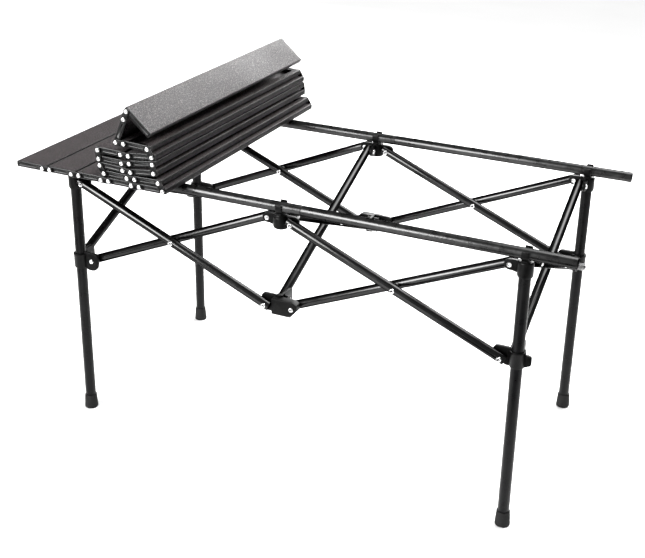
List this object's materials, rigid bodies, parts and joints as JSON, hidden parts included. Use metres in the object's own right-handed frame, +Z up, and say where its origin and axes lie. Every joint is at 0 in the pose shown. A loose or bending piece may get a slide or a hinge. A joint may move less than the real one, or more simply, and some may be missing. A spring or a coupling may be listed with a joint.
{
  "type": "folding table",
  "caption": "Long low camping table: a roll-up top of hinged metal slats, half unrolled on two tube rails, over a pop-up scissor frame on straight tube legs with rubber feet.",
  "frame": {"origin": "centre of the footprint, on the floor", "axes": "+Z up; +X along the table, from the end where the tabletop is flat towards the bare rails; +Y across the table, from the near side to the far side"},
  "size_m": [0.9496, 0.55, 0.6214],
  "materials": {
    "slat": "fine textured dark grey powder coat",
    "link": "black moulded plastic with bright rivets",
    "rail": "black semi-gloss coat with a slight hammered texture",
    "bar": "gloss black paint",
    "leg": "satin dark grey coat",
    "hub": "black moulded plastic",
    "cap": "black moulded plastic, slightly glossier than the hubs",
    "foot": "matte black rubber",
    "rivet": "bright plated steel"
  },
  "bodies": {
    "near_mid_top_hub": {"near_mid_top_hub": "hub"},
    "near_mid_low_hub": {"near_mid_low_hub": "hub"},
    "near_left_leg": {"near_left_leg": "leg", "near_left_top_hub": "hub"},
    "near_left_slider": {"near_left_slider": "hub"},
    "near_left_rising_bar": {"near_left_rising_bar": "bar"},
    "near_left_falling_bar": {"near_left_falling_bar": "bar"},
    "near_right_leg": {"near_right_leg": "leg", "near_right_top_hub": "hub"},
    "near_right_slider": {"near_right_slider": "hub"},
    "near_right_rising_bar": {"near_right_rising_bar": "bar"},
    "near_right_falling_bar": {"near_right_falling_bar": "bar"},
    "near_rail": {"near_left_rail": "rail", "near_right_rail": "rail"},
    "far_mid_top_hub": {"far_mid_top_hub": "hub"},
    "far_mid_low_hub": {"far_mid_low_hub": "hub"},
    "far_left_leg": {"far_left_leg": "leg", "far_left_top_hub": "hub"},
    "far_left_slider": {"far_left_slider": "hub"},
    "far_left_rising_bar": {"far_left_rising_bar": "bar"},
    "far_left_falling_bar": {"far_left_falling_bar": "bar"},
    "far_right_leg": {"far_right_leg": "leg", "far_right_top_hub": "hub"},
    "far_right_slider": {"far_right_slider": "hub"},
    "far_right_rising_bar": {"far_right_rising_bar": "bar"},
    "far_right_falling_bar": {"far_right_falling_bar": "bar"},
    "far_rail": {"far_left_rail": "rail", "far_right_rail": "rail"},
    "left_cross_rising_bar": {"left_cross_rising_bar": "bar"},
    "left_cross_falling_bar": {"left_cross_falling_bar": "bar"},
    "mid_cross_rising_bar": {"mid_cross_rising_bar": "bar"},
    "mid_cross_falling_bar": {"mid_cross_falling_bar": "bar"},
    "right_cross_rising_bar": {"right_cross_rising_bar": "bar"},
    "right_cross_falling_bar": {"right_cross_falling_bar": "bar"},
    "flat_slats": {"slat_03": "slat", "slat_04": "slat", "slat_05": "slat"},
    "slat_01": {"slat_01": "slat"},
    "slat_02": {"slat_02": "slat"},
    "slat_06": {"slat_06": "slat"},
    "slat_07": {"slat_07": "slat"},
    "slat_08": {"slat_08": "slat"},
    "slat_09": {"slat_09": "slat"},
    "slat_10": {"slat_10": "slat"},
    "slat_11": {"slat_11": "slat"},
    "slat_12": {"slat_12": "slat"},
    "slat_13": {"slat_13": "slat"},
    "slat_14": {"slat_14": "slat"},
    "slat_15": {"slat_15": "slat"},
    "slat_16": {"slat_16": "slat"},
    "link_05_06": {"near_link_05_06": "link", "far_link_05_06": "link"},
    "link_07_08": {"near_link_07_08": "link", "far_link_07_08": "link"},
    "link_09_10": {"near_link_09_10": "link", "far_link_09_10": "link"},
    "link_11_12": {"near_link_11_12": "link", "far_link_11_12": "link"},
    "link_13_14": {"near_link_13_14": "link", "far_link_13_14": "link"}
  },
  "joints": [
    {"name": "frame_fold", "type": "hinge", "parent": "near_mid_top_hub", "child": "mid_cross_falling_bar", "pos_m": [0, -0.188, 0.455], "axis": [-1, 0, 0], "range_deg": [0, 56]},
    {"name": "mid_cross_crossing", "type": "hinge", "parent": "mid_cross_falling_bar", "child": "mid_cross_rising_bar", "pos_m": [0, -0.012, 0.3795], "axis": [1, 0, 0], "range_deg": [0, 112]},
    {"name": "mid_cross_far_top_pivot", "type": "hinge", "parent": "mid_cross_rising_bar", "child": "far_mid_top_hub", "pos_m": [0, 0.164, 0.455], "axis": [1, 0, 0], "range_deg": [-56, 0]},
    {"name": "mid_cross_far_low_pivot", "type": "hinge", "parent": "mid_cross_falling_bar", "child": "far_mid_low_hub", "pos_m": [0, 0.164, 0.304], "axis": [1, 0, 0], "range_deg": [0, 56]},
    {"name": "near_left_rising_pivot", "type": "hinge", "parent": "near_mid_top_hub", "child": "near_left_rising_bar", "pos_m": [-0.024, -0.212, 0.455], "axis": [0, -1, 0], "range_deg": [0, 56]},
    {"name": "near_left_crossing", "type": "hinge", "parent": "near_left_rising_bar", "child": "near_left_falling_bar", "pos_m": [-0.2, -0.212, 0.3795], "axis": [0, -1, 0], "range_deg": [-112, 0]},
    {"name": "near_left_leg_pivot", "type": "hinge", "parent": "near_left_falling_bar", "child": "near_left_leg", "pos_m": [-0.376, -0.212, 0.455], "axis": [0, -1, 0], "range_deg": [0, 56]},
    {"name": "near_left_slider_pivot", "type": "hinge", "parent": "near_left_rising_bar", "child": "near_left_slider", "pos_m": [-0.376, -0.212, 0.304], "axis": [0, -1, 0], "range_deg": [-56, 0]},
    {"name": "near_right_falling_pivot", "type": "hinge", "parent": "near_mid_top_hub", "child": "near_right_falling_bar", "pos_m": [0.024, -0.212, 0.455], "axis": [0, -1, 0], "range_deg": [-56, 0]},
    {"name": "near_right_crossing", "type": "hinge", "parent": "near_right_falling_bar", "child": "near_right_rising_bar", "pos_m": [0.2, -0.212, 0.3795], "axis": [0, -1, 0], "range_deg": [0, 112]},
    {"name": "near_right_leg_pivot", "type": "hinge", "parent": "near_right_rising_bar", "child": "near_right_leg", "pos_m": [0.376, -0.212, 0.455], "axis": [0, -1, 0], "range_deg": [-56, 0]},
    {"name": "near_right_slider_pivot", "type": "hinge", "parent": "near_right_falling_bar", "child": "near_right_slider", "pos_m": [0.376, -0.212, 0.304], "axis": [0, -1, 0], "range_deg": [0, 56]},
    {"name": "far_left_rising_pivot", "type": "hinge", "parent": "far_mid_top_hub", "child": "far_left_rising_bar", "pos_m": [-0.024, 0.188, 0.455], "axis": [0, -1, 0], "range_deg": [0, 56]},
    {"name": "far_left_crossing", "type": "hinge", "parent": "far_left_rising_bar", "child": "far_left_falling_bar", "pos_m": [-0.2, 0.188, 0.3795], "axis": [0, -1, 0], "range_deg": [-112, 0]},
    {"name": "far_left_leg_pivot", "type": "hinge", "parent": "far_left_falling_bar", "child": "far_left_leg", "pos_m": [-0.376, 0.188, 0.455], "axis": [0, -1, 0], "range_deg": [0, 56]},
    {"name": "far_left_slider_pivot", "type": "hinge", "parent": "far_left_rising_bar", "child": "far_left_slider", "pos_m": [-0.376, 0.188, 0.304], "axis": [0, -1, 0], "range_deg": [-56, 0]},
    {"name": "far_right_falling_pivot", "type": "hinge", "parent": "far_mid_top_hub", "child": "far_right_falling_bar", "pos_m": [0.024, 0.188, 0.455], "axis": [0, -1, 0], "range_deg": [-56, 0]},
    {"name": "far_right_crossing", "type": "hinge", "parent": "far_right_falling_bar", "child": "far_right_rising_bar", "pos_m": [0.2, 0.188, 0.3795], "axis": [0, -1, 0], "range_deg": [0, 112]},
    {"name": "far_right_leg_pivot", "type": "hinge", "parent": "far_right_rising_bar", "child": "far_right_leg", "pos_m": [0.376, 0.188, 0.455], "axis": [0, -1, 0], "range_deg": [-56, 0]},
    {"name": "far_right_slider_pivot", "type": "hinge", "parent": "far_right_falling_bar", "child": "far_right_slider", "pos_m": [0.376, 0.188, 0.304], "axis": [0, -1, 0], "range_deg": [0, 56]},
    {"name": "near_mid_low_pivot", "type": "hinge", "parent": "near_left_falling_bar", "child": "near_mid_low_hub", "pos_m": [-0.024, -0.212, 0.304], "axis": [0, -1, 0], "range_deg": [0, 56]},
    {"name": "left_cross_falling_pivot", "type": "hinge", "parent": "near_left_leg", "child": "left_cross_falling_bar", "pos_m": [-0.4, -0.188, 0.455], "axis": [1, 0, 0], "range_deg": [-56, 0]},
    {"name": "left_cross_crossing", "type": "hinge", "parent": "left_cross_falling_bar", "child": "left_cross_rising_bar", "pos_m": [-0.4, -0.012, 0.3795], "axis": [1, 0, 0], "range_deg": [0, 112]},
    {"name": "right_cross_falling_pivot", "type": "hinge", "parent": "near_right_leg", "child": "right_cross_falling_bar", "pos_m": [0.4, -0.188, 0.455], "axis": [1, 0, 0], "range_deg": [-56, 0]},
    {"name": "right_cross_crossing", "type": "hinge", "parent": "right_cross_falling_bar", "child": "right_cross_rising_bar", "pos_m": [0.4, -0.012, 0.3795], "axis": [1, 0, 0], "range_deg": [0, 112]},
    {"name": "rails_lift", "type": "slide", "parent": "near_mid_top_hub", "child": "near_rail", "axis": [0, 0, 1], "range_m": [0, 0.03]},
    {"name": "far_rail_lift", "type": "slide", "parent": "far_mid_top_hub", "child": "far_rail", "axis": [0, 0, 1], "range_m": [0, 0.03]},
    {"name": "tabletop_lift", "type": "slide", "parent": "near_rail", "child": "flat_slats", "axis": [0, 0, 1], "range_m": [0, 0.06]},
    {"name": "slat_02_fold", "type": "hinge", "parent": "flat_slats", "child": "slat_02", "pos_m": [-0.346, 0, 0.49055], "axis": [0, 1, 0], "range_deg": [0, 70]},
    {"name": "end_slat_fold", "type": "hinge", "parent": "slat_02", "child": "slat_01", "pos_m": [-0.4055, 0, 0.49055], "axis": [0, 1, 0], "range_deg": [0, 70]},
    {"name": "tabletop_unroll_lower", "type": "hinge", "parent": "flat_slats", "child": "link_05_06", "pos_m": [-0.1825, 0, 0.49055], "axis": [0, 1, 0], "range_deg": [0, 122]},
    {"name": "slat_06_turn", "type": "hinge", "parent": "link_05_06", "child": "slat_06", "pos_m": [-0.19045, 0, 0.50327], "axis": [0, 1, 0], "range_deg": [0, 59.5]},
    {"name": "slat_07_turn", "type": "hinge", "parent": "slat_06", "child": "slat_07", "pos_m": [-0.24993, 0, 0.50171], "axis": [0, 1, 0], "range_deg": [-2.9, 0]},
    {"name": "link_07_08_turn", "type": "hinge", "parent": "slat_07", "child": "link_07_08", "pos_m": [-0.29441, 0, 0.5028], "axis": [0, 1, 0], "range_deg": [-59.5, 0]},
    {"name": "slat_08_turn", "type": "hinge", "parent": "link_07_08", "child": "slat_08", "pos_m": [-0.30171, 0, 0.51591], "axis": [0, 1, 0], "range_deg": [-121.7, 0]},
    {"name": "slat_09_turn", "type": "hinge", "parent": "slat_08", "child": "slat_09", "pos_m": [-0.24227, 0, 0.51321], "axis": [0, 1, 0], "range_deg": [0, 9.3]},
    {"name": "tabletop_unroll_middle", "type": "hinge", "parent": "slat_09", "child": "link_09_10", "pos_m": [-0.19808, 0, 0.5184], "axis": [0, 1, 0], "range_deg": [0, 90.3]},
    {"name": "slat_10_turn", "type": "hinge", "parent": "link_09_10", "child": "slat_10", "pos_m": [-0.1999, 0, 0.53329], "axis": [0, 1, 0], "range_deg": [0, 90.2]},
    {"name": "slat_11_turn", "type": "hinge", "parent": "slat_10", "child": "slat_11", "pos_m": [-0.25893, 0, 0.52583], "axis": [0, 1, 0], "range_deg": [-8.4, 0]},
    {"name": "link_11_12_turn", "type": "hinge", "parent": "slat_11", "child": "link_11_12", "pos_m": [-0.30342, 0, 0.52676], "axis": [0, 1, 0], "range_deg": [-85, 0]},
    {"name": "slat_12_turn", "type": "hinge", "parent": "link_11_12", "child": "slat_12", "pos_m": [-0.30442, 0, 0.54173], "axis": [0, 1, 0], "range_deg": [-95, 0]},
    {"name": "slat_13_turn", "type": "hinge", "parent": "slat_12", "child": "slat_13", "pos_m": [-0.24493, 0, 0.54048], "axis": [0, 1, 0], "range_deg": [0, 7.1]},
    {"name": "tabletop_unroll_upper", "type": "hinge", "parent": "slat_13", "child": "link_13_14", "pos_m": [-0.20067, 0, 0.54506], "axis": [0, 1, 0], "range_deg": [0, 115.6]},
    {"name": "slat_14_turn", "type": "hinge", "parent": "link_13_14", "child": "slat_14", "pos_m": [-0.2085, 0, 0.55785], "axis": [0, 1, 0], "range_deg": [0, 56]},
    {"name": "slat_15_turn", "type": "hinge", "parent": "slat_14", "child": "slat_15", "pos_m": [-0.26795, 0, 0.56044], "axis": [0, 1, 0], "range_deg": [-110.6, 0]},
    {"name": "slat_16_turn", "type": "hinge", "parent": "slat_15", "child": "slat_16", "pos_m": [-0.2446, 0, 0.61517], "axis": [0, 1, 0], "range_deg": [-107.9, 0]}
  ],
  "couplings": [
    {"joint": "mid_cross_crossing", "follows": "frame_fold", "ratio": 2},
    {"joint": "mid_cross_far_top_pivot", "follows": "frame_fold", "ratio": -1},
    {"joint": "mid_cross_far_low_pivot", "follows": "frame_fold", "ratio": 1},
    {"joint": "near_left_rising_pivot", "follows": "frame_fold", "ratio": 1},
    {"joint": "near_left_crossing", "follows": "frame_fold", "ratio": -2},
    {"joint": "near_left_leg_pivot", "follows": "frame_fold", "ratio": 1},
    {"joint": "near_left_slider_pivot", "follows": "frame_fold", "ratio": -1},
    {"joint": "near_right_falling_pivot", "follows": "frame_fold", "ratio": -1},
    {"joint": "near_right_crossing", "follows": "frame_fold", "ratio": 2},
    {"joint": "near_right_leg_pivot", "follows": "frame_fold", "ratio": -1},
    {"joint": "near_right_slider_pivot", "follows": "frame_fold", "ratio": 1},
    {"joint": "far_left_rising_pivot", "follows": "frame_fold", "ratio": 1},
    {"joint": "far_left_crossing", "follows": "frame_fold", "ratio": -2},
    {"joint": "far_left_leg_pivot", "follows": "frame_fold", "ratio": 1},
    {"joint": "far_left_slider_pivot", "follows": "frame_fold", "ratio": -1},
    {"joint": "far_right_falling_pivot", "follows": "frame_fold", "ratio": -1},
    {"joint": "far_right_crossing", "follows": "frame_fold", "ratio": 2},
    {"joint": "far_right_leg_pivot", "follows": "frame_fold", "ratio": -1},
    {"joint": "far_right_slider_pivot", "follows": "frame_fold", "ratio": 1},
    {"joint": "near_mid_low_pivot", "follows": "frame_fold", "ratio": 1},
    {"joint": "left_cross_falling_pivot", "follows": "frame_fold", "ratio": -1},
    {"joint": "left_cross_crossing", "follows": "frame_fold", "ratio": 2},
    {"joint": "right_cross_falling_pivot", "follows": "frame_fold", "ratio": -1},
    {"joint": "right_cross_crossing", "follows": "frame_fold", "ratio": 2},
    {"joint": "far_rail_lift", "follows": "rails_lift", "ratio": 1},
    {"joint": "slat_06_turn", "follows": "tabletop_unroll_lower", "ratio": 0.4877},
    {"joint": "slat_07_turn", "follows": "tabletop_unroll_lower", "ratio": -0.02377},
    {"joint": "link_07_08_turn", "follows": "tabletop_unroll_lower", "ratio": -0.4877},
    {"joint": "slat_08_turn", "follows": "tabletop_unroll_lower", "ratio": -0.99754},
    {"joint": "slat_09_turn", "follows": "tabletop_unroll_lower", "ratio": 0.07623},
    {"joint": "slat_10_turn", "follows": "tabletop_unroll_middle", "ratio": 0.99889},
    {"joint": "slat_11_turn", "follows": "tabletop_unroll_middle", "ratio": -0.093023},
    {"joint": "link_11_12_turn", "follows": "tabletop_unroll_middle", "ratio": -0.94131},
    {"joint": "slat_12_turn", "follows": "tabletop_unroll_middle", "ratio": -1.052},
    {"joint": "slat_13_turn", "follows": "tabletop_unroll_middle", "ratio": 0.078627},
    {"joint": "slat_14_turn", "follows": "tabletop_unroll_upper", "ratio": 0.48443},
    {"joint": "slat_15_turn", "follows": "tabletop_unroll_upper", "ratio": -0.95675},
    {"joint": "slat_16_turn", "follows": "tabletop_unroll_upper", "ratio": -0.93339}
  ]
}
